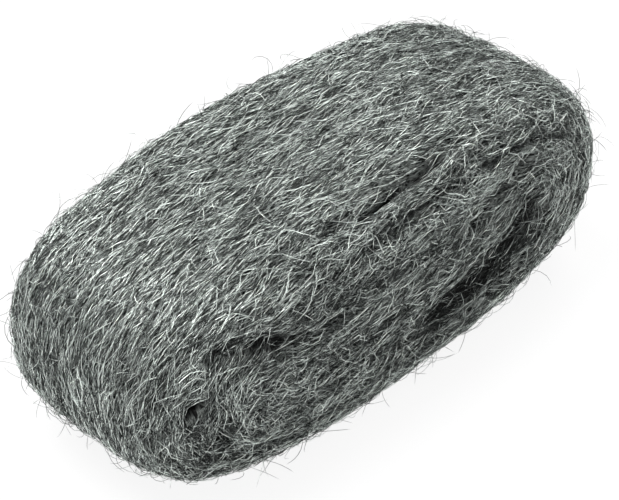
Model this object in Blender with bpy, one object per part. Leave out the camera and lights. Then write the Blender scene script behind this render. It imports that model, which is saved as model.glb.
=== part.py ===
"""A steel wool pad: one long band of steel wool, wound flat into a soft roll.

The band is a single closed solid. Its free end lies feathered on the underside. From
there it runs round the right end, over the top, round the left end and inwards, turn by
turn, to a flat slit at the core. Seen along Y the roll is a rounded, flattened oval, and
the edges of its turns show on both sides.

Metres, +Z up. X runs along the pad, Y across the band, and the pad rests on Z = 0.
"""

import math

import bpy
from mathutils import Vector

# The pad as a whole
PAD_LENGTH = 0.120
PAD_WIDTH = 0.049
PAD_HEIGHT = 0.0475
FLAT_DEPTH = 0.0020  # how far the underside is pressed flat where the pad rests
OUTLINE_POWER = 2.6  # 2 is an ellipse, more is squarer: the oval seen along Y
CROWN_POWER = 4.6  # the same for the section across the band
CROWN_REACH = 1.02  # where the section's curve would close, in half widths of the pad
END_ROUNDING = 0.040  # how far the pad's ends would draw in where that curve closes
LAYER_POWER = 4.0  # how late the inner turns follow the section's curve

# The band and how it is wound
TURNS = 3.62
TURN_GROWTH = 0.12  # how much the band thickens from one turn to the next inwards
TURN_GAP = 0.0007  # the space between one turn and the next
CORE_LENGTH = 0.072
CORE_SHIFT = -0.005  # how far along X the core's middle lies from the pad's
CORE_SLIT = 0.0002  # half the height of the slit that is left at the core
CORE_LIFT = 0.56  # how high the core's ends stand, in half heights of the oval
CORE_LIFT_END = 0.78  # where the lift is complete, in half lengths of the pad
CORE_LIFT_POWER = 1.4  # more keeps the middle of the core flatter
CORE_SAG = 0.12  # how low the core hangs between the sides, in half heights of the oval
FREE_END_AT = 0.020  # where along X the free end lies on the underside
FREE_END_THICKNESS = 0.0009
FEATHER_TURNS = 0.16  # the share of a turn in which each end of the band thins out
EDGE_ROUNDING = 7.0  # power of the band's own rounded section; less is rounder
EDGE_DEPTH = 0.75  # where in its thickness the band's edge meets the side
EDGE_WANDER = 0.0007  # how far a turn's edge strays in and out of the side
FRONT_WAVES = (2.3, 0.6)  # waves of the front edge in a turn, and where they start
BACK_WAVES = (1.7, 2.1)

# Places where neighbouring turns stand apart at the front side: turns from the free
# end, half the stretch in turns, and the height of the opening
OPENINGS = (
    (0.430, 0.060, 0.0016),
    (0.700, 0.018, 0.0024),
    (2.035, 0.055, 0.0034),
    (2.780, 0.050, 0.0022),
    (3.080, 0.050, 0.0022),
)
OPENING_DEPTH = 0.75  # how far in from the front side they reach, in widths of the pad

# Places where the front edge lies back from the side or stands out from it: turns from
# the free end, half the stretch in turns, and the distance along Y
FRONT_SHIFTS = (
    (0.430, 0.070, -0.0018),
    (0.600, 0.060, 0.0015),
    (2.050, 0.080, -0.0026),
)

# The roll's gentle unevenness: waves round it, how they shift across it in radians for
# each metre, where they start, and how high they are
LUMPS = (
    (3, 55.0, 0.3, 0.00040),
    (5, -90.0, 1.9, 0.00030),
    (8, 140.0, 4.1, 0.00020),
)
RELIEF_END = 1.5  # more ends them, and the furrows below, higher above the flat underside

# The strands that the band's outside is drawn into, with furrows between them
STRAND_PITCH = 0.0075
STRAND_DEPTH = 0.0009
STRAND_DRIFT = (0.0014, 1.7, 0.8)  # how far they wander along Y, how often in a turn, and the start
STRAND_SWELL = (0.4, 4.3, 180.0)  # how much the depth varies, how often in a turn, and the shift across
STRAND_EDGE = 0.0175  # where the furrows run out towards the sides
STRANDED_TURNS = 1.0  # the outermost turn has them

# How finely the solid is cut: sections in each turn, points that measure the oval, and
# the shares of the band's half width at which its two faces have points
RUN_STEPS = 48
PERIMETER_STEPS = 720
OUTER_STOPS = (0.0, 0.09, 0.18, 0.27, 0.36, 0.45, 0.54, 0.63, 0.72, 0.81, 0.91, 0.985)
INNER_STOPS = (0.0, 0.50, 0.76, 0.90, 0.97)

STEEL_GREY = (0.42, 0.44, 0.43, 1.0)
STEEL_ROUGHNESS = 0.45

HALF_LENGTH = PAD_LENGTH / 2
HALF_WIDTH = PAD_WIDTH / 2
HALF_HEIGHT = (PAD_HEIGHT + FLAT_DEPTH) / 2
HALF_CORE = CORE_LENGTH / 2


def remove_objects():
    for old in list(bpy.data.objects):
        bpy.data.objects.remove(old, do_unlink=True)


def signed_power(value, power):
    return math.copysign(abs(value) ** power, value)


def smooth_step(value):
    value = min(1.0, max(0.0, value))
    return value * value * (3.0 - 2.0 * value)


def bump(value, centre, spread):
    return math.exp(-(((value - centre) / spread) ** 2))


def oval_direction(angle):
    """Cosine and sine of the oval, which reach 1 at the ends and the top."""
    power = 2.0 / OUTLINE_POWER
    return signed_power(math.cos(angle), power), signed_power(math.sin(angle), power)


def free_end_angle():
    """The oval's angle on the underside at FREE_END_AT."""
    return 1.5 * math.pi + math.asin(signed_power(FREE_END_AT / HALF_LENGTH, OUTLINE_POWER / 2.0))


def measure_oval():
    """Angles of the oval from the free end's place on, with two shares for each.

    The first share is how much of the oval's length lies behind, the second how much of
    its length and of its turning together, which is what the sections are spaced by.
    """
    start = free_end_angle()
    angles = [start + 2 * math.pi * i / PERIMETER_STEPS for i in range(PERIMETER_STEPS + 1)]
    points = []
    for angle in angles:
        across, up = oval_direction(angle)
        points.append(Vector((HALF_LENGTH * across, HALF_HEIGHT * up)))
    steps = [after - before for before, after in zip(points, points[1:])]
    lengths = [0.0]
    turns = [0.0]
    for i, step in enumerate(steps):
        lengths.append(lengths[-1] + step.length)
        turns.append(turns[-1] + abs(step.angle_signed(steps[(i + 1) % len(steps)])))
    shares = [length / lengths[-1] for length in lengths]
    mixed = [(share + turn / turns[-1]) / 2 for share, turn in zip(shares, turns)]
    return angles, shares, mixed


def read_between(value, known, wanted):
    """The wanted list's value where the known list, which rises, reaches the given one."""
    low, high = 0, len(known) - 1
    while high - low > 1:
        middle = (low + high) // 2
        if known[middle] <= value:
            low = middle
        else:
            high = middle
    part = (value - known[low]) / (known[high] - known[low])
    return wanted[low] + part * (wanted[high] - wanted[low])


def angle_at(run, oval):
    """The oval's angle after run turns from the free end."""
    angles, shares, _ = oval
    return read_between(run - math.floor(run), shares, angles)


def fullness(run):
    """How thick the band is at a place, from 0 at its two ends."""
    ends = smooth_step(run / FEATHER_TURNS) * smooth_step((TURNS - run) / FEATHER_TURNS)
    return ends * (1.0 + TURN_GROWTH * run)


def space_under(run, y):
    """The space between the turn at run and the turn inside it, at a place across."""
    opening = sum(height * bump(run, centre, spread) for centre, spread, height in OPENINGS)
    distance = (HALF_WIDTH + y) / PAD_WIDTH
    return TURN_GAP + opening * smooth_step(1.0 - distance / OPENING_DEPTH)


def turns_of_sector(run):
    """Every place of the band that lies in line with run, from the outermost inwards."""
    place = run - math.floor(run)
    places = []
    while place <= TURNS:
        places.append(place)
        place += 1.0
    return places


def depths(run, y):
    """Depth of the band's outer and inner face below the oval at run and y."""
    places = turns_of_sector(run)
    weights = [fullness(place) for place in places]
    spaces = [space_under(place, y) * min(1.0, weight) for place, weight in zip(places, weights)]
    unit = (HALF_HEIGHT - CORE_SLIT - sum(spaces)) / sum(weights)
    index = min(int(run), len(places) - 1)
    outer = sum(weights[:index]) * unit + sum(spaces[:index])
    return outer, outer + weights[index] * unit


def crown_level(y):
    """Height of the roll's section at y, as a share of its height in the middle."""
    share = abs(y) / (CROWN_REACH * HALF_WIDTH)
    return (1.0 - share**CROWN_POWER) ** (1.0 / CROWN_POWER)


def side_reach(depth):
    """How far out along Y the side lies at a depth below the oval."""
    level = max(0.0, 1.0 - depth / HALF_HEIGHT)
    reach = CROWN_REACH * (1.0 - level**CROWN_POWER) ** (1.0 / CROWN_POWER)
    return HALF_WIDTH * min(1.0, reach)


def core_lift(x, y):
    """How high the core lies at a place, as a share of the room above or below it."""
    share = abs(x - CORE_SHIFT) / (CORE_LIFT_END * HALF_LENGTH)
    lift = CORE_LIFT * smooth_step(share**CORE_LIFT_POWER) / math.sqrt(crown_level(y))
    return lift - CORE_SAG * (1.0 - (y / HALF_WIDTH) ** 2)


def relief_share(angle):
    """How much of the relief shows at an angle of the oval, which is none where the pad rests."""
    return smooth_step(1.0 + RELIEF_END * oval_direction(angle)[1])


def unevenness(angle, y):
    """How far the roll's outside swells along the oval's normal, as a vector along X and Z."""
    height = sum(size * math.sin(waves * angle + shift * y + start) for waves, shift, start, size in LUMPS)
    height *= relief_share(angle)
    across, up = oval_direction(angle)
    normal = Vector((
        signed_power(across, OUTLINE_POWER - 1.0) / HALF_LENGTH, 0.0,
        signed_power(up, OUTLINE_POWER - 1.0) / HALF_HEIGHT))
    return normal.normalized() * height


def furrow(run, y):
    """How deep the furrows between the strands are at a place of the band's outside."""
    drift, turns, start = STRAND_DRIFT
    swell, swells, shift = STRAND_SWELL
    wander = drift * math.sin(2 * math.pi * turns * run + start)
    hollow = (1.0 - math.cos(2 * math.pi * (y + wander) / STRAND_PITCH)) / 2
    strength = 1.0 - swell + swell * math.sin(2 * math.pi * swells * run + shift * y)
    fade = smooth_step((STRAND_EDGE - abs(y)) / STRAND_PITCH + 1.0)
    fade *= smooth_step(run / FEATHER_TURNS) * smooth_step((STRANDED_TURNS - run) / FEATHER_TURNS + 1.0)
    return STRAND_DEPTH * hollow * strength * fade


def place_point(angle, depth, y):
    """A point of the roll from its angle, its depth below the oval and its place across."""
    crown = crown_level(y)
    inner = max(1.0 - depth / HALF_HEIGHT, CORE_SLIT / HALF_HEIGHT)
    level = (inner**-LAYER_POWER + crown**-LAYER_POWER - 1.0) ** (-1.0 / LAYER_POWER)
    across, up = oval_direction(angle)
    reach = HALF_LENGTH - END_ROUNDING * (1.0 - crown)
    share = level / crown
    x = (HALF_CORE + (reach - HALF_CORE) * share) * across + CORE_SHIFT * (1.0 - share)
    roof = HALF_HEIGHT * crown * max(0.0, 1.0 - abs(x / reach) ** OUTLINE_POWER) ** (1.0 / OUTLINE_POWER)
    height = HALF_HEIGHT * level * up
    lift = core_lift(x, y) * max(0.0, roof - abs(height))
    floor = HALF_HEIGHT - FLAT_DEPTH
    if height < 0.0 and roof > floor:
        height *= floor / roof
    return Vector((x, y, height + lift + floor)) + unevenness(angle, y) * level


def edge_reach(run, y, waves):
    """How far out from the middle the band's edge lies at run, on the side of y."""
    outer, inner = depths(run, y)
    strays = EDGE_WANDER * math.sin(2 * math.pi * waves[0] * run + waves[1])
    return side_reach(outer + EDGE_DEPTH * (inner - outer)) + strays


def edge_places(run):
    """Where the band's two edges lie along Y at run."""
    shift = sum(distance * bump(run, centre, spread) for centre, spread, distance in FRONT_SHIFTS)
    front = edge_reach(run, -HALF_WIDTH, FRONT_WAVES) + shift
    back = edge_reach(run, HALF_WIDTH, BACK_WAVES)
    return -min(front, HALF_WIDTH), min(back, HALF_WIDTH)


def band_section(run, oval):
    """One rounded section across the band, as a closed loop of points."""
    front, back = edge_places(run)
    angle = angle_at(run, oval)

    def point(share, side):
        y = (front + back) / 2 + share * (back - front) / 2
        outer, inner = depths(run, y)
        thickness = max(inner - outer, FREE_END_THICKNESS)
        bulge = (1.0 - abs(share) ** EDGE_ROUNDING) ** (1.0 / EDGE_ROUNDING)
        depth = outer + (1.0 + side * bulge) * thickness / 2
        if side < 0.0:
            depth += furrow(run, y) * relief_share(angle)
        return place_point(angle, depth, y)

    def face(stops, side):
        return [point(share, side) for share in [-stop for stop in reversed(stops[1:])] + list(stops)]

    outer_face = face(OUTER_STOPS, -1.0)
    inner_face = face(INNER_STOPS, 1.0)
    return [point(-1.0, 0.0)] + outer_face + [point(1.0, 0.0)] + inner_face[::-1]


def thin_length(step=0.002):
    """The share of a turn in which the band is thinner than its free end may be."""
    run = 0.0
    thickness = 0.0
    while thickness < FREE_END_THICKNESS:
        run += step
        outer, inner = depths(run, 0.0)
        thickness = inner - outer
    return run


def band_runs(oval):
    """The places of the sections, closer together where the oval turns sharply."""
    _, shares, mixed = oval
    start = thin_length()
    end = TURNS - start
    first = read_between(start, shares, mixed)
    last = math.floor(end) + read_between(end - math.floor(end), shares, mixed)
    count = round((last - first) * RUN_STEPS)
    runs = []
    for i in range(count + 1):
        place = first + (last - first) * i / count
        runs.append(math.floor(place) + read_between(place - math.floor(place), mixed, shares))
    return runs


def centre_points(points):
    """Moves the points so that their box is centred in X and Y and stands on Z = 0."""
    middle = [(min(p[axis] for p in points) + max(p[axis] for p in points)) / 2 for axis in (0, 1)]
    offset = Vector((middle[0], middle[1], min(p.z for p in points)))
    return [point - offset for point in points]


def build_pad():
    oval = measure_oval()
    loops = [band_section(run, oval) for run in band_runs(oval)]
    size = len(loops[0])
    points = centre_points([point for loop in loops for point in loop])
    faces = []
    for i in range(len(loops) - 1):
        for j in range(size):
            k = (j + 1) % size
            faces.append((i * size + j, i * size + k, (i + 1) * size + k, (i + 1) * size + j))
    last = (len(loops) - 1) * size
    faces.append(tuple(reversed(range(size))))
    faces.append(tuple(last + j for j in range(size)))
    mesh = bpy.data.meshes.new("wool_band")
    mesh.from_pydata(points, [], faces)
    mesh.update()
    mesh.validate()
    return mesh


def steel_wool_material():
    material = bpy.data.materials.new("steel_wool")
    material.use_nodes = True
    shader = material.node_tree.nodes["Principled BSDF"]
    shader.inputs["Base Color"].default_value = STEEL_GREY
    shader.inputs["Metallic"].default_value = 1.0
    shader.inputs["Roughness"].default_value = STEEL_ROUGHNESS
    return material


def main():
    remove_objects()
    mesh = build_pad()
    mesh.shade_smooth()
    mesh.materials.append(steel_wool_material())
    pad = bpy.data.objects.new("wool_band", mesh)
    bpy.context.scene.collection.objects.link(pad)


main()
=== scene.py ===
"""Dresses the steel wool pad in its fibres, and sets the floor, the light and the camera.

The pad is a band of steel wool wound flat. Its coat is made of separate steel fibres: each
is a slender closed shaving with three sides, which follows the winding, wanders, and dips
into the wool. Under the coat lies a body, drawn in where the turns stand apart, whose dark
colour is painted shade of the wool's depth. The fibres' tones carry painted shade, painted
highlights and painted glints as well.

A place on the outside is given by its turn, which is 0 at the band's free end and grows
the way the band is wound, and by its way across, which is 0 on top of the band, grows
over the rim towards the front side and ends at that side's middle.
"""

import math

import bpy
import numpy as np
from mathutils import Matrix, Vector


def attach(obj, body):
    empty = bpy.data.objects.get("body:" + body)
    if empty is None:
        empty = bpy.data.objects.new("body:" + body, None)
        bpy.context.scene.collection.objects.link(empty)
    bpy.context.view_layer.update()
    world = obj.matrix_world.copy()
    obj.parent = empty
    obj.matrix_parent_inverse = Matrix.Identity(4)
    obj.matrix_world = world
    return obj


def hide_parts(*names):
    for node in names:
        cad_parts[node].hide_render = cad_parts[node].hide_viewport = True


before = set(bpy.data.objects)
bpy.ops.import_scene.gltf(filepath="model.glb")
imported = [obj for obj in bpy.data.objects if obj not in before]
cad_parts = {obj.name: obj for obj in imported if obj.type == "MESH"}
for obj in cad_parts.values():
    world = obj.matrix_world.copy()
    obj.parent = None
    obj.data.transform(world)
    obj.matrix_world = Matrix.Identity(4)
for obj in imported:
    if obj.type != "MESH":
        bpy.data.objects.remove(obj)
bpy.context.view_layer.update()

# The pad's outside and its turns, with the names and values of the CAD source
PAD_LENGTH = 0.120
PAD_WIDTH = 0.049
PAD_HEIGHT = 0.0475
FLAT_DEPTH = 0.0020
OUTLINE_POWER = 2.6
CROWN_POWER = 4.6
CROWN_REACH = 1.02
END_ROUNDING = 0.040
LAYER_POWER = 4.0
TURNS = 3.62
TURN_GROWTH = 0.12
TURN_GAP = 0.0007
CORE_LENGTH = 0.072
CORE_SHIFT = -0.005
CORE_SLIT = 0.0002
CORE_LIFT = 0.56
CORE_LIFT_END = 0.78
CORE_LIFT_POWER = 1.4
FREE_END_AT = 0.020
FEATHER_TURNS = 0.16
EDGE_DEPTH = 0.75
EDGE_WANDER = 0.0007
FRONT_WAVES = (2.3, 0.6)
BACK_WAVES = (1.7, 2.1)
OPENINGS = (
    (0.430, 0.060, 0.0016),
    (0.700, 0.018, 0.0024),
    (2.035, 0.055, 0.0034),
    (2.780, 0.050, 0.0022),
    (3.080, 0.050, 0.0022),
)
FRONT_SHIFTS = (
    (0.430, 0.070, -0.0018),
    (0.600, 0.060, 0.0015),
    (2.050, 0.080, -0.0026),
)
LUMPS = (
    (3, 55.0, 0.3, 0.00040),
    (5, -90.0, 1.9, 0.00030),
    (8, 140.0, 4.1, 0.00020),
)
RELIEF_END = 1.5
STRAND_PITCH = 0.0075
STRAND_DEPTH = 0.0009
STRAND_DRIFT = (0.0014, 1.7, 0.8)
STRAND_SWELL = (0.4, 4.3, 180.0)
STRAND_EDGE = 0.0175
HALF_LENGTH = PAD_LENGTH / 2
HALF_WIDTH = PAD_WIDTH / 2
HALF_HEIGHT = (PAD_HEIGHT + FLAT_DEPTH) / 2
HALF_CORE = CORE_LENGTH / 2
MIDDLE_HEIGHT = HALF_HEIGHT - FLAT_DEPTH

# Places along the front rim where the wool stands apart, as X and Y in millimetres, with
# the half width and the depth of each
RIM_OPENINGS = (
    (((-11.5, -20.6), (-3.6, -20.3), (1.7, -19.6), (8.0, -19.2), (16.5, -18.6)), 0.90, 3.8),
    (((-19.0, -18.8), (-9.7, -20.6), (1.7, -19.4), (15.4, -18.7), (24.0, -16.4)), 1.8, 1.1),
)
RIM_FADE = 0.004  # over which length along X they end

# More places on the front side where the wool stands apart, as X and Z in millimetres,
# with the half width and the depth of each
FRONT_OPENINGS = (
    (((32.6, 36.2), (25.9, 33.8), (21.1, 31.2), (18.8, 28.6)), 1.2, 3.2),
    (((34.0, 27.6), (27.3, 21.9), (19.4, 18.4), (9.0, 15.6)), 1.3, 3.4),
    (((34.5, 22.5), (28.9, 17.8), (20.6, 15.2), (9.4, 13.4)), 2.9, 3.0),
    (((-46.8, 36.2), (-42.1, 36.5), (-36.5, 34.0), (-30.8, 29.6)), 1.7, 2.4),
    (((-30.8, 29.6), (-24.6, 28.4), (-15.4, 28.7)), 1.2, 1.6),
    (((-52.0, 26.9), (-51.6, 26.9)), 1.2, 7.0),
    (((-27.9, 42.2), (-20.7, 41.4)), 2.2, 1.2),
)
OPENING_REACH = 3  # an opening fades out within this many half widths
SWIRL_AT = (-0.0518, 0.0269)  # the left hand opening, which the fibres bend around
SWIRL_SIZE = 0.0080
SWIRL_STRENGTH = 1.5
SLIT_DEPTH = 0.0008  # the shallow furrows between the turns on both sides
SLIT_WIDTH = 0.0006
SLIT_STEPS = 500
SLIT_END = 0.05  # how many turns before the band's ends they stop
SLIT_OPENING = 0.25  # how much deeper a furrow is for each metre that the turns stand apart
SHIFT_SHARE = 0.4  # how much of the turns' shifts still shows in the coat over them

# The maps of the two sides: their spacing, their low corner in X and Z, how many cells they
# have, how finely the turns are sampled for them, and how often the cells are mixed
GRID = 0.00025
MAP_LOW = (-0.064, -0.004)
MAP_SIZE = (512, 224)
MAP_END = 1.001  # values are read up to this many cells before the far edges
LEAST_COUNT = 1e-6
WINDING_SAMPLES = (2400, 150)
WINDING_SKIN = 0.0004
WINDING_CORE = 0.0006
WINDING_MIXES = 6
WINDING_FULL = 0.5  # a cell with this many samples follows the winding
EDGE_SAMPLES = (3000, 60)
EDGE_END = 0.03
EDGE_MIXES = 4
SIDE_STARTS = 0.80  # the share of the half width where a side's maps begin to count
SIDE_BENDS = 0.16  # over this much more the fibres turn to the side's winding
SIDE_DROPS = 0.14  # and over this much the wool there comes to lie back

# The lines on the body under the fibres: how far they are turned from the winding, the
# length and width of their waves in millimetres, how bright they are, and a seed
BODY_LINES = (
    (0.0, 4.0, 0.80, 1.0, 0.3),
    (0.16, 3.6, 0.90, 0.85, 7.1),
    (-0.22, 3.2, 1.00, 0.70, 15.7),
)
LINE_EDGES = (0.02, 0.085)  # how far from the noise's middle a line begins to fade, and is gone
UV_LENGTH = 292.0  # the body's UV map is this many millimetres along the band
UV_WIDTH = 100.0  # and this many across
SKIN_LOW = 0.04  # where the body's skin starts across the map
SKIN_SIZE = 0.92  # and how much of the map it takes up
CAP_LOW = 0.015  # where the first of the two closing faces has its middle
CAP_STEP = 0.97  # and how far on the second one has it
CAP_SCALES = (20, 8)  # how much of the map a metre of them takes up along X and Z

# The body's points: rounds along the band, and rows on its back side, its face and its front
# side. A side begins this far across, and its skin ends this far before the side's middle.
BODY_ROUNDS = 300
BODY_ROWS = (32, 26, 50)
BODY_SIDE_AT = 0.020
BODY_END = 0.0008
BODY_INSET = 0.0013  # how far the body is drawn in under the fibres

SECTION_STEPS = 500
OVAL_STEPS = 1440
LITTLE_TURN = 5e-4
LITTLE_WAY = 1.5e-4
ALMOST_NOTHING = 1e-12
PIECE_TRIANGLES = 195000
SEED = 41

# The layers of fibres, from the lowest up: how many there are, how many points each has, their
# lengths and width, how far they lean from the wool's course and how much they turn in a metre,
# both on the band's face and on the sides, the length in which they settle back, their lowest
# and highest level over the outside, the size of their waves, how far their ends dive, and how
# many times as close together they lie on the sides
LAYERS = (
    dict(count=24500, steps=5, lengths=(0.008, 0.013), width=0.00012, leans=(0.10, 0.24),
         turnings=(3.5, 5.0), settling=0.008, low=-0.0010, high=-0.0002, wave=0.0003,
         dive=0.0006, on_sides=1.0),
    dict(count=10500, steps=6, lengths=(0.008, 0.013), width=0.00012, leans=(0.22, 0.40),
         turnings=(6.0, 10.0), settling=0.008, low=-0.0004, high=0.0002, wave=0.0003,
         dive=0.0005, on_sides=2.2),
    dict(count=1200, steps=12, lengths=(0.008, 0.018), width=0.00013, leans=(0.40, 0.90),
         turnings=(9.0, 22.0), settling=0.010, low=-0.0001, high=0.0004, wave=0.0004,
         dive=0.0008, on_sides=2.2),
)

# The fibres that stand off: the degrees at which they leave the wool, how much they bend in a
# metre, and which share of them bends back to it
STRAYS = (
    dict(count=3400, steps=7, lengths=(0.0040, 0.0090), width=0.00009, lifts=(12.0, 44.0),
         curls=(160.0, 440.0), returning=0.98),
    dict(count=90, steps=14, lengths=(0.0040, 0.0080), width=0.00009, lifts=(8.0, 35.0),
         curls=(80.0, 420.0), returning=0.6),
)
STRAY_ROOT = -0.0004  # how high over the outside they start
STRAY_TURN = 0.5  # how far they are turned from the wool's course
STRAY_TILT = 0.6  # how far they bend to the side instead of back to the wool
STRAY_CURLING = 40.0  # how much their bend changes from point to point
STRAY_TWIST = 0.4

FIBRE_SIDES = 3
FIBRE_TAPER = 0.35
FIBRE_TWIST = 0.8
FIBRE_WIDTHS = (0.7, 1.3)  # each fibre's width, as a share of its layer's
FIBRE_WAVES = (0.6, 2.4)
FIBRE_WAVE_SIZES = (0.2, 1.0)
FLOOR_GAP = 0.00008  # the fibres stay this far above what the pad rests on
RESTING = -0.6  # the outside rests where its normal points down more than this
RESTING_SHARE = 0.25  # there the fibres are only this many times as close together
SIDE_FACES = 0.5  # a side is where the normal's share along Y is greater than this
SIDE_STYLE_FROM = 0.35  # the sides' leans and turnings come in from this share
SIDE_STYLE_OVER = 0.4
START_ROWS = (480, 160)  # the cells in which fibres start, along the band and across it
START_MARGIN = 0.0006
WAY_MARGIN = 0.0004
LONGEST_STEP = 0.05  # a fibre's longest step, in turns
DIP_LIMIT = 0.0014  # fibres that would dip further than this where the wool stands apart
DIP_SHARE = 0.20  # are mostly left out, but for this share of them

# The tones of the fibres: 0.5 is a middle grey, and the ramp of the material does the rest
FIBRE_TONE = 0.50
STRAY_TONE = 0.40
PAINTED_FACE_LIGHT = (0.22, -0.03, -0.25)  # a painted highlight on one face of each shaving, and painted shade on another
TONE_SPREAD = 0.08
# a slow painted glint along each fibre: its size and how many waves it has
PAINTED_GLINT_SIZE = 0.05
PAINTED_GLINT_WAVES = (0.8, 2.4)
SHADE_DEPTH = 0.0028  # the painted shade on the body, and on the fibres, is darkest where the wool lies this far back
PAINTED_DEEP_SHADE = 0.30  # how much darker the fibres' tone is there, as painted shade
PAINTED_HEIGHT_SHADE = 0.36  # how much brighter the highest fibres of a layer are than its lowest: painted shade on the low ones, which lie under the others, and painted light on the high ones
HEIGHT_MIDDLE = 0.55  # the share of a layer's height at which its tone is not changed
HEIGHT_LIMIT = 0.6
CELL_MARGIN = 0.06  # each fibre's cell of the UV map has this margin
CELL_SIZE = 0.88  # and this size inside it
# short painted glints along each fibre, from noise over its UV cell
GLINT_SCALE = 520.0
GLINT_NOISE = (0.25, 0.75)  # between these values the glints' noise changes the tone
GLINT_TONE = 0.38  # and by as much as this, to both sides

# The colours of the fibres, of the body and of the sky, from dark to bright, each with its place
# on the ramp
# the fibres' darkest and brightest colours are mostly reached through the painted shade, highlights and
# glints in their tones
STEEL_STOPS = (
    (0.36, (0.03, 0.0325, 0.031)),
    (0.50, (0.23, 0.248, 0.236)),
    (0.70, (0.88, 0.95, 0.905)),
)
# the body's dark stop is painted shade, between its lines and where the wool lies back
BODY_STOPS = ((0.25, (0.003, 0.0032, 0.0031)), (1.0, (0.36, 0.39, 0.37)))
SKY_STOPS = ((0.0, (0.40, 0.40, 0.40)), (0.9, (0.95, 0.95, 0.95)))

LAMP_TARGET = (0.0, 0.0, 0.02)
# Each lamp's name, place, size and power
LAMPS = (
    ("lamp_right", (0.46, 0.16, 0.62), 0.40, 3.1),
    ("lamp_above", (-0.20, 0.25, 0.75), 0.50, 7.2),
    ("lamp_left", (-0.75, -0.35, 0.45), 0.25, 1.8),
    ("lamp_front", (0.15, -0.70, 0.40), 0.20, 0.6),
)
FLOOR_SIZE = 0.6
FLOOR_GLOW = 0.88  # how much of the floor is white for the camera, which leaves its shadow soft


def smooth_step(value):
    value = np.clip(value, 0.0, 1.0)
    return value * value * (3.0 - 2.0 * value)


def signed_power(value, power):
    return np.sign(value) * np.abs(value) ** power


def unit(vectors):
    return vectors / np.maximum(np.linalg.norm(vectors, axis=-1, keepdims=True), ALMOST_NOTHING)


def dot(first, second):
    return np.sum(first * second, axis=-1, keepdims=True)


def oval_direction(angle):
    power = 2.0 / OUTLINE_POWER
    return signed_power(np.cos(angle), power), signed_power(np.sin(angle), power)


def measure_oval():
    """The oval's angles from the free end's place on, and the share of its length behind each."""
    start = 1.5 * math.pi + math.asin((FREE_END_AT / HALF_LENGTH) ** (OUTLINE_POWER / 2.0))
    angles = start + np.linspace(0.0, 2.0 * math.pi, OVAL_STEPS + 1)
    across, up = oval_direction(angles)
    steps = np.hypot(np.diff(across) * HALF_LENGTH, np.diff(up) * HALF_HEIGHT)
    shares = np.concatenate([[0.0], np.cumsum(steps)])
    return angles, shares / shares[-1]


def measure_section():
    """Ways across, with the place along Y and the crown's level at each."""
    angles = np.linspace(0.0, math.pi, SECTION_STEPS + 1)
    places = CROWN_REACH * HALF_WIDTH * signed_power(np.cos(angles), 2.0 / CROWN_POWER)
    places = np.clip(places, -HALF_WIDTH, HALF_WIDTH)
    levels = np.maximum(np.sin(angles), 0.0) ** (2.0 / CROWN_POWER)
    steps = np.hypot(np.diff(places), np.diff(levels) * HALF_HEIGHT)
    ways = np.concatenate([[0.0], np.cumsum(steps)])
    return ways - ways[-1] / 2, places, levels


OVAL_ANGLES, OVAL_SHARES = measure_oval()
SECTION_WAYS, SECTION_PLACES, SECTION_LEVELS = measure_section()
HALF_SECTION = SECTION_WAYS[-1]


def furrow(turn, y):
    """How deep the furrows between the strands are at a place of the band's outside."""
    drift, turns, start = STRAND_DRIFT
    swell, swells, shift = STRAND_SWELL
    wander = drift * np.sin(2 * math.pi * turns * turn + start)
    hollow = (1.0 - np.cos(2 * math.pi * (y + wander) / STRAND_PITCH)) / 2
    strength = 1.0 - swell + swell * np.sin(2 * math.pi * swells * turn + shift * y)
    fade = smooth_step((STRAND_EDGE - np.abs(y)) / STRAND_PITCH + 1.0)
    return STRAND_DEPTH * hollow * strength * fade * smooth_step(turn / FEATHER_TURNS)


def pad_point(turn, way):
    """A point of the pad's outside, before its sides are laid back."""
    turn = turn - np.floor(turn)
    y = np.interp(way, SECTION_WAYS, SECTION_PLACES)
    level = np.interp(way, SECTION_WAYS, SECTION_LEVELS)
    angle = np.interp(turn, OVAL_SHARES, OVAL_ANGLES)
    across, up = oval_direction(angle)
    height = sum(size * np.sin(waves * angle + shift * y + start) for waves, shift, start, size in LUMPS)
    height = (height - furrow(turn, y)) * smooth_step(1.0 + RELIEF_END * up)
    normal = np.stack([signed_power(across, OUTLINE_POWER - 1.0) / HALF_LENGTH,
                       signed_power(up, OUTLINE_POWER - 1.0) / HALF_HEIGHT], axis=-1)
    swell = unit(normal) * (height * level)[..., None]
    x = (HALF_LENGTH - END_ROUNDING * (1.0 - level)) * across + swell[..., 0]
    z = MIDDLE_HEIGHT + HALF_HEIGHT * level * up + swell[..., 1]
    return np.stack([x, y, np.maximum(z, 0.0)], axis=-1)


def pad_frame(turn, way):
    """A point of the outside, its rates along and across, and its outward normal."""
    point = pad_point(turn, way)
    along = (pad_point(turn + LITTLE_TURN, way) - pad_point(turn - LITTLE_TURN, way)) / (2 * LITTLE_TURN)
    across = (pad_point(turn, way + LITTLE_WAY) - pad_point(turn, way - LITTLE_WAY)) / (2 * LITTLE_WAY)
    return point, along, across, unit(np.cross(along, across))


def fullness(run):
    """How thick the band is at a place along it, before its turns share out the height."""
    ends = smooth_step(run / FEATHER_TURNS) * smooth_step((TURNS - run) / FEATHER_TURNS)
    return ends * (1.0 + TURN_GROWTH * run)


def bump(value, centre, reach):
    return np.exp(-(((value - centre) / reach) ** 2))


def opening(run):
    """How far the turn at run and the turn inside it stand apart at the front side."""
    return sum(height * bump(run, centre, reach) for centre, reach, height in OPENINGS)


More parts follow.
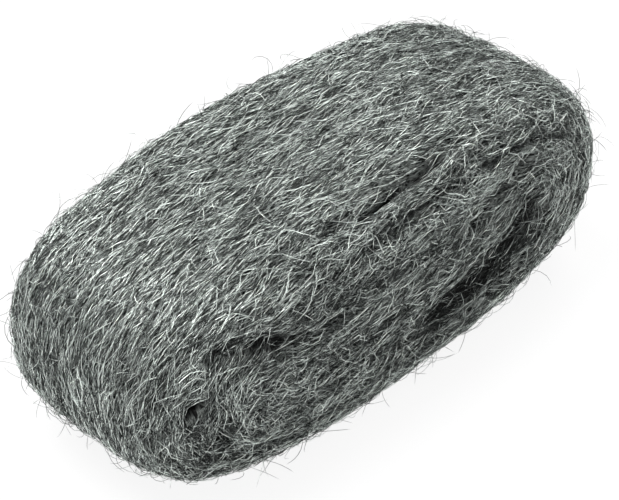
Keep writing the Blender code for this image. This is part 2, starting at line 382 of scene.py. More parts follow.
def depths(run, openness):
    """Depth of the band's outer and inner face below the oval."""
    first = run - np.floor(run)
    index = np.floor(run)
    places = [first + turn for turn in range(math.ceil(TURNS))]
    weights = [fullness(place) for place in places]
    spaces = [(TURN_GAP + openness * opening(place)) * np.minimum(1.0, weight)
              for place, weight in zip(places, weights)]
    share = (HALF_HEIGHT - CORE_SLIT - sum(spaces)) / sum(weights)
    outer = sum((w * share + s) * (turn < index) for turn, (w, s) in enumerate(zip(weights, spaces)))
    return outer, outer + share * fullness(run)


def side_point(turn, depth):
    """Where on a side the winding passes at a turn and a depth below the oval, as X and Z."""
    edge = (1.0 - CROWN_REACH**-CROWN_POWER) ** (1.0 / CROWN_POWER)
    inner = np.maximum(1.0 - depth / HALF_HEIGHT, CORE_SLIT / HALF_HEIGHT)
    crown = np.maximum(inner, edge)
    level = (inner**-LAYER_POWER + crown**-LAYER_POWER - 1.0) ** (-1.0 / LAYER_POWER)
    across, up = oval_direction(np.interp(turn - np.floor(turn), OVAL_SHARES, OVAL_ANGLES))
    reach = HALF_LENGTH - END_ROUNDING * (1.0 - crown)
    share = level / crown
    x = (HALF_CORE + (reach - HALF_CORE) * share) * across + CORE_SHIFT * (1.0 - share)
    room = np.maximum(0.0, 1.0 - np.abs(x / reach) ** OUTLINE_POWER)
    roof = HALF_HEIGHT * crown * room ** (1.0 / OUTLINE_POWER)
    height = HALF_HEIGHT * level * up
    place = np.abs(x - CORE_SHIFT) / (CORE_LIFT_END * HALF_LENGTH)
    lift = CORE_LIFT * smooth_step(place**CORE_LIFT_POWER) / np.sqrt(crown)
    lift = lift * np.maximum(0.0, roof - np.abs(height))
    low = (height < 0.0) & (roof > MIDDLE_HEIGHT)
    height = np.where(low, height * MIDDLE_HEIGHT / np.maximum(roof, MIDDLE_HEIGHT), height)
    return np.stack([x, height + lift + MIDDLE_HEIGHT], axis=-1)


def spread(values):
    """Mixes each cell with the ones beside it."""
    mixed = values + np.roll(values, 1, 0) + np.roll(values, -1, 0)
    return mixed + np.roll(mixed, 1, 1) + np.roll(mixed, -1, 1)


class SideMap:
    """Maps of one side over X and Z: which way the fibres run, and how deep the wool lies back."""

    def __init__(self, openness, waves, shifts, openings):
        self.openness = openness
        x = MAP_LOW[0] + GRID * (np.arange(MAP_SIZE[0]) + 0.5)
        z = MAP_LOW[1] + GRID * (np.arange(MAP_SIZE[1]) + 0.5)
        self.x, self.z = np.meshgrid(x, z, indexing="ij")
        self.bend, self.weight = self.winding()
        self.depth = np.full(MAP_SIZE, -1.0)
        runs = np.linspace(SLIT_END, TURNS - (1.0 + SLIT_END), SLIT_STEPS)
        middle = (depths(runs, openness)[1] + depths(runs + 1.0, openness)[0]) / 2
        apart = openness * opening(runs)
        self.open_along(side_point(runs, middle), SLIT_WIDTH + apart / 2, SLIT_DEPTH + SLIT_OPENING * apart)
        for line, width, depth in openings:
            size = len(line)
            self.open_along(np.array(line) / 1000, np.full(size, width / 1000), np.full(size, depth / 1000))
        self.depth = np.maximum(self.depth, 0.0) + self.edges(waves, shifts)

    def winding(self):
        """Twice the winding's angle, as a vector, so that both ways along it count as one.

        With it comes how far the winding counts in each cell.
        """
        rounds, layers = WINDING_SAMPLES
        turns, depth = np.meshgrid(np.linspace(0.0, 1.0, rounds, endpoint=False),
                                   np.linspace(WINDING_SKIN, HALF_HEIGHT - WINDING_CORE, layers))
        points = side_point(turns, depth)
        step = points - np.roll(points, 1, axis=1)
        angle = 2.0 * np.arctan2(step[..., 1], step[..., 0])
        cosine = self.gather(points, np.cos(angle))
        sine = self.gather(points, np.sin(angle))
        count = self.gather(points, np.ones_like(angle))
        for _ in range(WINDING_MIXES):
            cosine, sine, count = spread(cosine), spread(sine), spread(count)
        return unit(np.stack([cosine, sine], axis=-1)), smooth_step(count / WINDING_FULL)

    def edges(self, waves, shifts):
        """How far the edges of the turns lie back from the pad's outside."""
        rounds, layers = EDGE_SAMPLES
        run, lift = np.meshgrid(np.linspace(EDGE_END, TURNS - EDGE_END, rounds),
                                np.linspace(0.0, 1.0, layers))
        outer, inner = depths(run, self.openness)
        shift = EDGE_WANDER * np.sin(2 * math.pi * waves[0] * run + waves[1])
        moved = sum(distance * bump(run, centre, reach) for centre, reach, distance in shifts)
        shift = shift + SHIFT_SHARE * moved
        level = np.maximum(0.0, 1.0 - (outer + EDGE_DEPTH * (inner - outer)) / HALF_HEIGHT)
        side = CROWN_REACH * (1.0 - level**CROWN_POWER) ** (1.0 / CROWN_POWER)
        reach = HALF_WIDTH * np.minimum(1.0, side)
        back = reach - np.minimum(reach + shift, HALF_WIDTH)
        points = side_point(run, outer + lift * (inner - outer))
        total = self.gather(points, back)
        count = self.gather(points, np.ones_like(back))
        for _ in range(EDGE_MIXES):
            total, count = spread(total), spread(count)
        return total / np.maximum(count, LEAST_COUNT)

    def gather(self, points, values):
        """The sums of the values at points, for each cell of the map."""
        cell = ((points - np.array(MAP_LOW)) / GRID).astype(int)
        flat = (cell[..., 0] * MAP_SIZE[1] + cell[..., 1]).ravel()
        return np.bincount(flat, weights=values.ravel(), minlength=self.x.size).reshape(MAP_SIZE)

    def add_swirl(self):
        """Bends the fibres' course round the left hand opening."""
        dx = self.x - SWIRL_AT[0]
        dz = self.z - SWIRL_AT[1]
        around = 2.0 * (np.arctan2(dz, dx) + math.pi / 2)
        share = SWIRL_STRENGTH * np.exp(-(dx**2 + dz**2) / SWIRL_SIZE**2)[..., None]
        self.bend = unit(self.bend + share * np.stack([np.cos(around), np.sin(around)], axis=-1))

    def open_along(self, line, widths, depths_there):
        """Lets the wool lie back along a line, deepest in its middle."""
        for start, end, width, depth in zip(line[:-1], line[1:], widths, depths_there):
            low = (np.minimum(start, end) - OPENING_REACH * width - np.array(MAP_LOW)) / GRID
            high = (np.maximum(start, end) + OPENING_REACH * width - np.array(MAP_LOW)) / GRID
            i0, j0 = np.maximum(low.astype(int), 0)
            i1, j1 = np.maximum(high.astype(int) + 1, 1)
            x = self.x[i0:i1, j0:j1] - start[0]
            z = self.z[i0:i1, j0:j1] - start[1]
            way = end - start
            share = np.clip((x * way[0] + z * way[1]) / max(way @ way, ALMOST_NOTHING), 0.0, 1.0)
            distance = np.hypot(x - share * way[0], z - share * way[1])
            part = self.depth[i0:i1, j0:j1]
            np.maximum(part, depth * np.exp(-((distance / width) ** 2)), out=part)

    def read(self, values, point):
        """The map's values at points, from the four cells around each."""
        place = (point[..., ::2] - np.array(MAP_LOW)) / GRID - 0.5
        place = np.clip(place, 0.0, np.array(MAP_SIZE) - MAP_END)
        cell = place.astype(int)
        part = place - cell
        i, j = cell[..., 0], cell[..., 1]
        a, b = part[..., 0], part[..., 1]
        if values.ndim == 3:
            a, b = a[..., None], b[..., None]
        low = values[i, j] * (1 - b) + values[i, j + 1] * b
        high = values[i + 1, j] * (1 - b) + values[i + 1, j + 1] * b
        return low * (1 - a) + high * a


FRONT = SideMap(1.0, FRONT_WAVES, FRONT_SHIFTS, FRONT_OPENINGS)
FRONT.add_swirl()
BACK = SideMap(0.0, BACK_WAVES, (), ())


def lie_of_fibres(point, along, normal):
    """Which way the wool's fibres run at a point of the outside."""
    course = unit(along)
    y = point[..., 1]
    for side, sign in ((FRONT, -1.0), (BACK, 1.0)):
        share = smooth_step((sign * y / HALF_WIDTH - SIDE_STARTS) / SIDE_BENDS)
        share = share * side.read(side.weight, point)
        bend = side.read(side.bend, point)
        angle = np.arctan2(bend[..., 1], bend[..., 0]) / 2
        wanted = np.stack([np.cos(angle), np.zeros_like(angle), np.sin(angle)], axis=-1)
        wanted = unit(wanted - normal * dot(wanted, normal))
        wanted = np.where(dot(wanted, course) < 0.0, -wanted, wanted)
        course = unit(course * (1.0 - share[..., None]) + wanted * share[..., None])
    return course


def rim_opening(point, way):
    """How deep the openings along the front rim are at points of the outside."""
    x = point[..., 0]
    deepest = np.zeros_like(x)
    for line, width, depth in RIM_OPENINGS:
        line = np.array(line) / 1000
        ways = np.interp(-line[:, 1], -SECTION_PLACES, SECTION_WAYS)
        ends = smooth_step((x - line[0, 0]) / RIM_FADE) * smooth_step((line[-1, 0] - x) / RIM_FADE)
        off = (way - np.interp(x, line[:, 0], ways)) / (width / 1000)
        deepest = np.maximum(deepest, depth / 1000 * np.exp(-(off**2)) * ends)
    return deepest * (point[..., 2] > MIDDLE_HEIGHT)


def lay_back(point, way):
    """How far the wool lies back from the outside, along the normal."""
    y = point[..., 1] / HALF_WIDTH
    front = FRONT.read(FRONT.depth, point) * smooth_step((-y - SIDE_STARTS) / SIDE_DROPS)
    back = BACK.read(BACK.depth, point) * smooth_step((y - SIDE_STARTS) / SIDE_DROPS)
    return np.maximum(front + back, rim_opening(point, way))


def settle(point, normal, way, height):
    """Moves points of the outside to their height over it, and back where the wool stands apart."""
    moved = point + normal * (height - lay_back(point, way))[..., None]
    moved[..., 2] = np.maximum(moved[..., 2], FLOOR_GAP)
    return moved


def new_mesh(name, points, triangles, uvs, tones, domain):
    """Makes an object with a UV place for each corner, and a tone for each point or face."""
    mesh = bpy.data.meshes.new(name)
    mesh.vertices.add(len(points))
    mesh.vertices.foreach_set("co", np.ascontiguousarray(points, dtype=np.float32).ravel())
    mesh.loops.add(triangles.size)
    mesh.loops.foreach_set("vertex_index", triangles.ravel().astype(np.int32))
    mesh.polygons.add(len(triangles))
    mesh.polygons.foreach_set("loop_start", np.arange(0, triangles.size, 3, dtype=np.int32))
    layer = mesh.uv_layers.new(name="OFBake")
    layer.data.foreach_set("uv", np.ascontiguousarray(uvs, dtype=np.float32).ravel())
    attribute = mesh.attributes.new("tone", "FLOAT", domain)
    attribute.data.foreach_set("value", tones.astype(np.float32))
    mesh.update()
    thing = bpy.data.objects.new(name, mesh)
    bpy.context.scene.collection.objects.link(thing)
    return thing


def fibre_pattern(steps):
    """The triangles of one closed fibre, their places in its UV cell, and their steps and sides."""
    rings = steps - 2
    last = 1 + rings * FIBRE_SIDES
    triangles = []
    places = []
    owners = []

    def corner(ring, side):
        return ((ring + 1) / (steps - 1), side / FIBRE_SIDES)

    for side in range(FIBRE_SIDES):
        after = (side + 1) % FIBRE_SIDES
        owners.append((0, side))
        triangles.append((0, 1 + after, 1 + side))
        places.append((corner(-1, side + 0.5), corner(0, side + 1), corner(0, side)))
        for ring in range(rings - 1):
            a = 1 + ring * FIBRE_SIDES + side
            b = 1 + ring * FIBRE_SIDES + after
            owners += [(ring + 1, side), (ring + 1, side)]
            triangles.append((a, b, b + FIBRE_SIDES))
            places.append((corner(ring, side), corner(ring, side + 1), corner(ring + 1, side + 1)))
            triangles.append((a, b + FIBRE_SIDES, a + FIBRE_SIDES))
            places.append((corner(ring, side), corner(ring + 1, side + 1), corner(ring + 1, side)))
        a = 1 + (rings - 1) * FIBRE_SIDES
        owners.append((rings, side))
        triangles.append((last, a + side, a + after))
        places.append((corner(rings, side + 0.5), corner(rings - 1, side), corner(rings - 1, side + 1)))
    return np.array(triangles), np.array(places), np.array(owners)


class Fibres:
    """Gathers fibres, and makes them into meshes of slender closed shavings."""

    def __init__(self):
        self.groups = []

    def add(self, path, normal, width, twist, tone):
        """path and normal are fibres by points by 3, tone fibres by points, width one for each fibre."""
        steps = path.shape[1]
        along = unit(np.gradient(path, axis=1))
        up = unit(normal - along * dot(normal, along))
        over = np.cross(along, up)
        taper = np.sin(np.linspace(0.0, math.pi, steps)) ** FIBRE_TAPER
        radius = (width[:, None] * taper[None, :] / 2)[..., None]
        rings = []
        for side in range(FIBRE_SIDES):
            turn = (twist + 2 * math.pi * side / FIBRE_SIDES)[..., None]
            rings.append((path + (np.cos(turn) * up + np.sin(turn) * over) * radius)[:, 1:-1])
        ring = np.stack(rings, axis=2).reshape(len(path), (steps - 2) * FIBRE_SIDES, 3)
        points = np.concatenate([path[:, :1], ring, path[:, -1:]], axis=1)
        self.groups.append((points, steps, tone))

    def triangles(self):
        return sum(len(points) * 2 * FIBRE_SIDES * (steps - 2) for points, steps, _ in self.groups)

    def make(self, name, pieces):
        """Deals the fibres out to a number of meshes."""
        made = []
        for index in range(pieces):
            points, triangles, tones, places = [], [], [], []
            used = 0
            for group, steps, tone in self.groups:
                part = group[index::pieces]
                pattern, cells, owners = fibre_pattern(steps)
                # each face adds its share of painted highlight and shade to the fibre's tone
                face_tones = tone[index::pieces][:, owners[:, 0]] + np.array(PAINTED_FACE_LIGHT)[owners[:, 1]]
                starts = used + np.arange(len(part))[:, None, None] * part.shape[1]
                points.append(part.reshape(-1, 3))
                triangles.append((pattern[None] + starts).reshape(-1, 3))
                tones.append(face_tones.ravel())
                places.append((cells, len(part)))
                used += part.shape[0] * part.shape[1]
            fibres = sum(count for _, count in places)
            across = math.ceil(math.sqrt(fibres))
            uvs = []
            first = 0
            for cells, count in places:
                number = first + np.arange(count)
                corner = np.stack([number % across, number // across], axis=-1)[:, None, None, :]
                uvs.append(((corner + CELL_MARGIN + CELL_SIZE * cells[None]) / across).reshape(-1, 2))
                first += count
            made.append(new_mesh(f"{name}_{index + 1}", np.concatenate(points), np.concatenate(triangles),
                                 np.concatenate(uvs), np.concatenate(tones), "FACE"))
        return made


def start_places(rng, count, on_sides):
    """Places spread over the outside, as turns and ways across, on_sides times as close on the sides."""
    end = HALF_SECTION - START_MARGIN
    turns = np.linspace(0.0, 1.0, START_ROWS[0] + 1)
    ways = np.linspace(-end, end, START_ROWS[1] + 1)
    turn, way = np.meshgrid((turns[1:] + turns[:-1]) / 2, (ways[1:] + ways[:-1]) / 2, indexing="ij")
    _, along, across, normal = pad_frame(turn, way)
    area = np.linalg.norm(np.cross(along, across), axis=-1)
    resting = np.where(normal[..., 2] < RESTING, RESTING_SHARE, 1.0)
    share = (area * (resting * np.where(np.abs(normal[..., 1]) > SIDE_FACES, on_sides, 1.0))).ravel()
    chosen = rng.choice(share.size, count, p=share / share.sum())
    turn = turn.ravel()[chosen] + rng.uniform(-0.5, 0.5, count) * (turns[1] - turns[0])
    way = way.ravel()[chosen] + rng.uniform(-0.5, 0.5, count) * (ways[1] - ways[0])
    return turn, way


def trace(rng, turn, way, length, steps, lean, turning, settling):
    """Lets fibres run from their places: each starts near the wool's course and wanders from it."""
    count = len(turn)
    step = length / (steps - 1)
    heading = rng.normal(0.0, 1.0, count) * lean
    points, normals, ways = [], [], []
    course = None
    limit = HALF_SECTION - WAY_MARGIN
    for _ in range(steps):
        point, along, across, normal = pad_frame(turn, way)
        lie = lie_of_fibres(point, along, normal)
        if course is None:
            lie = lie * rng.choice([-1.0, 1.0], count)[:, None]
        else:
            lie = np.where(dot(lie, course) < 0.0, -lie, lie)
        course = lie
        points.append(point)
        normals.append(normal)
        ways.append(way)
        go = np.cos(heading)[:, None] * lie + np.sin(heading)[:, None] * np.cross(normal, lie)
        along_squared = dot(along, along)[:, 0]
        across_squared = dot(across, across)[:, 0]
        mixed = dot(along, across)[:, 0]
        go_along = dot(go, along)[:, 0]
        go_across = dot(go, across)[:, 0]
        whole = np.maximum(along_squared * across_squared - mixed * mixed, ALMOST_NOTHING)
        turn_step = step * (go_along * across_squared - go_across * mixed) / whole
        turn = turn + np.clip(turn_step, -LONGEST_STEP, LONGEST_STEP)
        way_step = step * (go_across * along_squared - go_along * mixed) / whole
        way = np.clip(way + way_step, -limit, limit)
        heading = heading * np.exp(-step / settling) + rng.normal(0.0, 1.0, count) * turning * np.sqrt(step)
    return np.stack(points, axis=1), np.stack(normals, axis=1), np.stack(ways, axis=1)


def rise(rng, count, steps, low, high, wave, dive):
    """Heights of fibres over the skin, wavy, and lower at both ends."""
    level = rng.uniform(low, high, count)[:, None]
    place = np.linspace(0.0, 1.0, steps)[None, :]
    phase = rng.uniform(0.0, 2 * math.pi, (count, 1))
    waves = rng.uniform(FIBRE_WAVES[0], FIBRE_WAVES[1], (count, 1))
    size = wave * rng.uniform(FIBRE_WAVE_SIZES[0], FIBRE_WAVE_SIZES[1], (count, 1))
    return level + size * np.sin(2 * math.pi * waves * place + phase) - dive * np.abs(2 * place - 1) ** 3


def shades(rng, count, steps, middle):
    """Tones of fibres, which differ at random from fibre to fibre and change a little along each as a slow
    painted glint.
    """
    tone = middle + rng.normal(0.0, TONE_SPREAD, (count, 1))
    place = np.linspace(0.0, 1.0, steps)[None, :]
    phase = rng.uniform(0.0, 2 * math.pi, (count, 1))
    waves = rng.uniform(PAINTED_GLINT_WAVES[0], PAINTED_GLINT_WAVES[1], (count, 1))
    return tone + PAINTED_GLINT_SIZE * np.sin(2 * math.pi * waves * place + phase)


def twists(rng, count, steps, rate):
    """How far fibres are turned about themselves at each of their points."""
    start = rng.uniform(0.0, 2 * math.pi, (count, 1))
    return start + rng.normal(0.0, rate, (count, 1)) * np.arange(steps)[None, :]


def lay(fibres, rng, count, steps, lengths, width, leans, turnings, settling, low, high, wave, dive,
        on_sides):
    """Lays one of the layers of fibres on the outside."""
    turn, way = start_places(rng, count, on_sides)
    side = smooth_step((np.abs(pad_frame(turn, way)[3][:, 1]) - SIDE_STYLE_FROM) / SIDE_STYLE_OVER)
    length = rng.uniform(lengths[0], lengths[1], count)
    lean = leans[0] + (leans[1] - leans[0]) * side
    turning = turnings[0] + (turnings[1] - turnings[0]) * side
    point, normal, ways = trace(rng, turn, way, length, steps, lean, turning, settling)
    back = lay_back(point, ways)
    dip = back.max(axis=1) - back.min(axis=1)
    kept = (dip < DIP_LIMIT) | (rng.random(count) < DIP_SHARE)
    point, normal, ways = point[kept], normal[kept], ways[kept]
    count = len(point)
    height = rise(rng, count, steps, low, high, wave, dive)
    path = settle(point, normal, ways, height)
    widths = width * rng.uniform(FIBRE_WIDTHS[0], FIBRE_WIDTHS[1], count)
    # painted light and shade by height: the lower fibres of a layer are painted darker, the higher ones
    # brighter
    level = np.clip((height - low) / (high - low) - HEIGHT_MIDDLE, -HEIGHT_LIMIT, HEIGHT_LIMIT)
    tone = FIBRE_TONE + PAINTED_HEIGHT_SHADE * level
    # painted shade on fibres that lie back in the openings
    tone = tone - PAINTED_DEEP_SHADE * np.minimum(back[kept] / SHADE_DEPTH, 1.0)
    fibres.add(path, normal, widths, twists(rng, count, steps, FIBRE_TWIST), shades(rng, count, steps, tone))


def stray(fibres, rng, count, steps, lengths, width, lifts, curls, returning):
    """Fibres that stand off the wool: hairs that leave it, and loops that come back."""
    turn, way = start_places(rng, count, 1.0)
    point, along, _, normal = pad_frame(turn, way)
    start = settle(point, normal, way, np.full(count, STRAY_ROOT))
    lie = lie_of_fibres(point, along, normal) * rng.choice([-1.0, 1.0], count)[:, None]
    turned = rng.normal(0.0, STRAY_TURN, count)[:, None]
    lie = unit(np.cos(turned) * lie + np.sin(turned) * np.cross(normal, lie))
    off = np.radians(rng.uniform(lifts[0], lifts[1], count))[:, None]
    go = unit(np.cos(off) * lie + np.sin(off) * normal)
    axis = unit(np.cross(lie, normal) + rng.normal(0.0, STRAY_TILT, (count, 3)))
    length = rng.uniform(lengths[0], lengths[1], count)
    step = (length / (steps - 1))[:, None]
    way_back = np.where(rng.random(count) < returning, -1.0, 1.0)
    bend = (rng.uniform(curls[0], curls[1], count) * way_back)[:, None]
    path = [start]
    for _ in range(steps - 1):
        path.append(path[-1] + go * step)
        bend = bend + rng.normal(0.0, STRAY_CURLING, (count, 1))
        go = unit(go + np.cross(axis, go) * bend * step)
    path = np.stack(path, axis=1)
    path[..., 2] = np.maximum(path[..., 2], FLOOR_GAP)
    normals = np.repeat(normal[:, None], steps, axis=1)
    widths = width * rng.uniform(FIBRE_WIDTHS[0], FIBRE_WIDTHS[1], count)
    fibres.add(path, normals, widths, twists(rng, count, steps, STRAY_TWIST),
               shades(rng, count, steps, STRAY_TONE))


def build_coat():
    """All the fibres, in pieces of less than 200,000 triangles."""
    rng = np.random.default_rng(SEED)
    fibres = Fibres()
    for layer in LAYERS:
        lay(fibres, rng, **layer)
    for strays in STRAYS:
        stray(fibres, rng, **strays)
    return fibres.make("fibres", math.ceil(fibres.triangles() / PIECE_TRIANGLES))


def body_rows():
    """Ways across for the body's rows, closest together on the front side."""
    end = HALF_SECTION - BODY_END
    return np.concatenate([
        np.linspace(-end, -BODY_SIDE_AT, BODY_ROWS[0], endpoint=False),
        np.linspace(-BODY_SIDE_AT, BODY_SIDE_AT, BODY_ROWS[1], endpoint=False),
        np.linspace(BODY_SIDE_AT, end, BODY_ROWS[2]),
    ])


def zip_ring(count):
    """Triangles that close a flat ring, from its first point and its last towards its far end."""
    low, high = 0, count - 1
    triangles = []
    while high - low > 1:
        triangles.append((low, high, low + 1))
        low += 1
        if high - low > 1:
            triangles.append((low, high, high - 1))
            high -= 1
    return np.array(triangles)


def build_body():
    """The wool under the fibres."""
    ways = body_rows()
    rows = len(ways)
    rounds = np.arange(BODY_ROUNDS)
    turn, way = np.meshgrid(rounds / BODY_ROUNDS, ways, indexing="ij")
    point, _, _, normal = pad_frame(turn, way)
    points = settle(point, normal, way, np.full(turn.shape, -BODY_INSET)).reshape(-1, 3)
    # painted shade: the body is painted darker where the wool lies back from the outside
    shade = np.clip(1.0 - lay_back(point, way) / SHADE_DEPTH, 0.0, 1.0).ravel()
    here = (rounds * rows)[:, None] + np.arange(rows - 1)
    after = (((rounds + 1) % BODY_ROUNDS) * rows)[:, None] + np.arange(rows - 1)
    first = np.stack([here, after, after + 1], axis=-1).reshape(-1, 3)
    second = np.stack([here, after + 1, here + 1], axis=-1).reshape(-1, 3)
    skin = np.concatenate([first, second])
    over = SKIN_LOW + SKIN_SIZE * (way + HALF_SECTION) / (2 * HALF_SECTION)
    uvs = np.stack([turn, over], axis=-1).reshape(-1, 2)[skin]
    wrapped = uvs[..., 0].max(axis=1) - uvs[..., 0].min(axis=1) > 0.5
    uvs[..., 0] += wrapped[:, None] & (uvs[..., 0] < 0.5)
    ring = zip_ring(BODY_ROUNDS) * rows
    caps = np.concatenate([ring, ring[:, ::-1] + rows - 1])
    cap_u = 0.5 + points[:, 0] * CAP_SCALES[0]
    cap_v = CAP_LOW + (points[:, 2] - MIDDLE_HEIGHT) * CAP_SCALES[1]
    cap_uvs = np.stack([cap_u, cap_v], axis=-1)[caps]
    cap_uvs[len(ring):, :, 1] += CAP_STEP
    body = new_mesh("wool_body", points, np.concatenate([skin, caps]), np.concatenate([uvs, cap_uvs]),
                    shade, "POINT")
    body.data.polygons.foreach_set("use_smooth", np.ones(len(body.data.polygons), dtype=bool))
    return body


def add_math(tree, operation, first, second=None):
    """A node that works out a value from other nodes' outputs or plain numbers."""
    node = tree.nodes.new("ShaderNodeMath")
    node.operation = operation
    for socket, value in zip(node.inputs, (first, second)):
        if isinstance(value, float):
            socket.default_value = value
        elif value is not None:
            tree.links.new(value, socket)
    return node.outputs[0]


def add_ramp(tree, value, stops):
    """A node that turns a value into a colour, by the places and colours of its stops."""
    ramp = tree.nodes.new("ShaderNodeValToRGB")
    elements = ramp.color_ramp.elements
    if len(stops) > 2:
        elements.new(stops[1][0])
    for element, (place, colour) in zip(elements, stops):
        element.position = place
        element.color = (*colour, 1.0)
    tree.links.new(value, ramp.inputs["Fac"])
    return ramp.outputs["Color"]


def steel_fibre_material():
    """Bright steel, with painted highlight and shade on the faces of each fibre and short painted glints
    along it.
    """
    material = bpy.data.materials.new("steel_fibres")
    material.use_nodes = True
    tree = material.node_tree
    shader = tree.nodes["Principled BSDF"]
    shader.inputs["Metallic"].default_value = 1.0
    shader.inputs["Roughness"].default_value = 0.42
    tone = tree.nodes.new("ShaderNodeAttribute")
    tone.attribute_name = "tone"
    place = tree.nodes.new("ShaderNodeUVMap")
    place.uv_map = "OFBake"
    # short painted glints, from noise along each fibre's UV cell
    glints = tree.nodes.new("ShaderNodeTexNoise")
    glints.inputs["Scale"].default_value = GLINT_SCALE
    glints.inputs["Detail"].default_value = 1.0
    change = tree.nodes.new("ShaderNodeMapRange")
    change.inputs["From Min"].default_value = GLINT_NOISE[0]
    change.inputs["From Max"].default_value = GLINT_NOISE[1]
    change.inputs["To Min"].default_value = -GLINT_TONE
    change.inputs["To Max"].default_value = GLINT_TONE
    tree.links.new(place.outputs["UV"], glints.inputs["Vector"])
    tree.links.new(glints.outputs["Fac"], change.inputs["Value"])
    both = add_math(tree, "ADD", tone.outputs["Fac"], change.outputs["Result"])
    tree.links.new(add_ramp(tree, both, STEEL_STOPS), shader.inputs["Base Color"])
    return material


def add_lines(tree, place, turned, length, width, seed):
    """Fine wavy lines over the wool, as a value of 1 on each line and 0 between them."""
    lie = tree.nodes.new("ShaderNodeMapping")
    lie.inputs["Scale"].default_value = (UV_LENGTH, UV_WIDTH, 1.0)
    lie.inputs["Rotation"].default_value = (0.0, 0.0, turned)
    stretch = tree.nodes.new("ShaderNodeMapping")
    stretch.inputs["Location"].default_value = (0.0, 0.0, seed)
    stretch.inputs["Scale"].default_value = (1.0 / length, 1.0 / width, 1.0)
    noise = tree.nodes.new("ShaderNodeTexNoise")
    noise.inputs["Scale"].default_value = 1.0
    noise.inputs["Detail"].default_value = 1.5
    off = add_math(tree, "SUBTRACT", noise.outputs["Fac"], 0.5)
    line = tree.nodes.new("ShaderNodeMapRange")
    line.interpolation_type = "SMOOTHSTEP"
    line.inputs["From Min"].default_value = LINE_EDGES[0]
    line.inputs["From Max"].default_value = LINE_EDGES[1]
    line.inputs["To Min"].default_value = 1.0
    line.inputs["To Max"].default_value = 0.0
    tree.links.new(place.outputs["UV"], lie.inputs["Vector"])
    tree.links.new(lie.outputs["Vector"], stretch.inputs["Vector"])
    tree.links.new(stretch.outputs["Vector"], noise.inputs["Vector"])
    tree.links.new(add_math(tree, "ABSOLUTE", off), line.inputs["Value"])
    return line.outputs["Result"]


def wool_body_material():
    """Fine fibres lying close together along the band, with painted shade in the gaps between them and where
    the wool lies back.
    """
    material = bpy.data.materials.new("wool_inside")
    material.use_nodes = True
    tree = material.node_tree
    shader = tree.nodes["Principled BSDF"]
    shader.inputs["Metallic"].default_value = 0.7
    shader.inputs["Roughness"].default_value = 0.5
    place = tree.nodes.new("ShaderNodeUVMap")
    place.uv_map = "OFBake"
    height = None
    for turned, length, width, share, seed in BODY_LINES:
        lines = add_lines(tree, place, turned, length, width, seed)
        weaker = add_math(tree, "MULTIPLY", lines, share)
        height = weaker if height is None else add_math(tree, "MAXIMUM", height, weaker)
    back = tree.nodes.new("ShaderNodeAttribute")
    back.attribute_name = "tone"
    # painted shade: the lines are darkened where the wool lies back, and the gaps between them take the
    # ramp's dark stop
    darker = add_math(tree, "MULTIPLY", height, back.outputs["Fac"])
    relief = tree.nodes.new("ShaderNodeBump")
    relief.inputs["Strength"].default_value = 0.5
    relief.inputs["Distance"].default_value = 0.0002
    tree.links.new(add_ramp(tree, darker, BODY_STOPS), shader.inputs["Base Color"])
    tree.links.new(height, relief.inputs["Height"])
    tree.links.new(relief.outputs["Normal"], shader.inputs["Normal"])
    return material


def build_floor():
    """A plain pale floor, which the camera sees as white but for the pad's shadow."""
    mesh = bpy.data.meshes.new("floor")
    size = FLOOR_SIZE
    corners = [(-size, -size, 0.0), (size, -size, 0.0), (size, size, 0.0), (-size, size, 0.0)]
    mesh.from_pydata(corners, [], [(0, 1, 2, 3)])
    floor = bpy.data.objects.new("floor", mesh)
    bpy.context.scene.collection.objects.link(floor)
    material = bpy.data.materials.new("floor")
    material.use_nodes = True
    tree = material.node_tree
    shader = tree.nodes["Principled BSDF"]
    shader.inputs["Base Color"].default_value = (0.8, 0.8, 0.8, 1.0)
    shader.inputs["Roughness"].default_value = 0.9
    glow = tree.nodes.new("ShaderNodeEmission")
    glow.inputs["Color"].default_value = (1.0, 1.0, 1.0, 1.0)
    paths = tree.nodes.new("ShaderNodeLightPath")
    share = add_math(tree, "MULTIPLY", paths.outputs["Is Camera Ray"], FLOOR_GLOW)
    mix = tree.nodes.new("ShaderNodeMixShader")
    tree.links.new(share, mix.inputs["Fac"])
    tree.links.new(shader.outputs[0], mix.inputs[1])
    tree.links.new(glow.outputs[0], mix.inputs[2])
    tree.links.new(mix.outputs[0], tree.nodes["Material Output"].inputs["Surface"])
    mesh.materials.append(material)


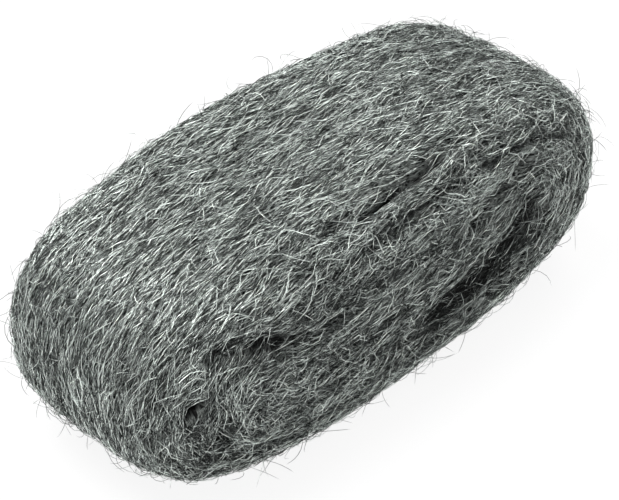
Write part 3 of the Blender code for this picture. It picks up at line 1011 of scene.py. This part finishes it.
def build_world():
    """Soft light from all round, and a white background where the camera looks past the floor."""
    world = bpy.data.worlds.new("studio")
    bpy.context.scene.world = world
    world.use_nodes = True
    tree = world.node_tree
    light = tree.nodes["Background"]
    light.inputs["Strength"].default_value = 1.0
    way = tree.nodes.new("ShaderNodeTexCoord")
    parts = tree.nodes.new("ShaderNodeSeparateXYZ")
    tree.links.new(way.outputs["Generated"], parts.inputs["Vector"])
    tree.links.new(add_ramp(tree, parts.outputs["Z"], SKY_STOPS), light.inputs["Color"])
    white = tree.nodes.new("ShaderNodeBackground")
    white.inputs["Color"].default_value = (1.0, 1.0, 1.0, 1.0)
    paths = tree.nodes.new("ShaderNodeLightPath")
    mix = tree.nodes.new("ShaderNodeMixShader")
    tree.links.new(paths.outputs["Is Camera Ray"], mix.inputs["Fac"])
    tree.links.new(light.outputs[0], mix.inputs[1])
    tree.links.new(white.outputs[0], mix.inputs[2])
    tree.links.new(mix.outputs[0], tree.nodes["World Output"].inputs["Surface"])


def add_lamp(name, place, size, power):
    """A round soft lamp that shines on the pad."""
    data = bpy.data.lights.new(name, "AREA")
    data.shape = "DISK"
    data.size = size
    data.energy = power
    lamp = bpy.data.objects.new(name, data)
    lamp.location = place
    lamp.rotation_euler = (Vector(LAMP_TARGET) - Vector(place)).to_track_quat("-Z", "Y").to_euler()
    bpy.context.scene.collection.objects.link(lamp)


def build_camera():
    """The photograph's viewpoint, from a fit to its outline."""
    azimuth = math.radians(-45.9)
    elevation = math.radians(38.44)
    distance = 0.46728
    focal = 2544.2  # pixels
    centre = (314.44, 229.68)
    width, height = 619, 500
    target = Vector((0.0, 0.0, 0.02472))
    flat = math.cos(elevation)
    back = Vector((math.sin(azimuth) * flat, -math.cos(azimuth) * flat, math.sin(elevation)))
    right = Vector((math.cos(azimuth), math.sin(azimuth), 0.0))
    up = back.cross(right)
    aim = -back * focal + right * (width / 2 - centre[0]) - up * (height / 2 - centre[1])
    data = bpy.data.cameras.new("camera")
    data.sensor_width = 36.0
    data.lens = focal * data.sensor_width / width
    data.clip_start = 0.01
    data.clip_end = 20.0
    camera = bpy.data.objects.new("camera", data)
    camera.location = target + back * distance
    camera.rotation_euler = aim.to_track_quat("-Z", "Y").to_euler()
    bpy.context.scene.collection.objects.link(camera)
    bpy.context.scene.camera = camera


build_camera()
build_floor()
build_world()
for lamp in LAMPS:
    add_lamp(*lamp)

body = build_body()
body.data.materials.append(wool_body_material())
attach(body, "root")
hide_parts("wool_band")
steel = steel_fibre_material()
for piece in build_coat():
    piece.data.materials.append(steel)
    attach(piece, "root")

bpy.context.scene.view_settings.view_transform = "Standard"
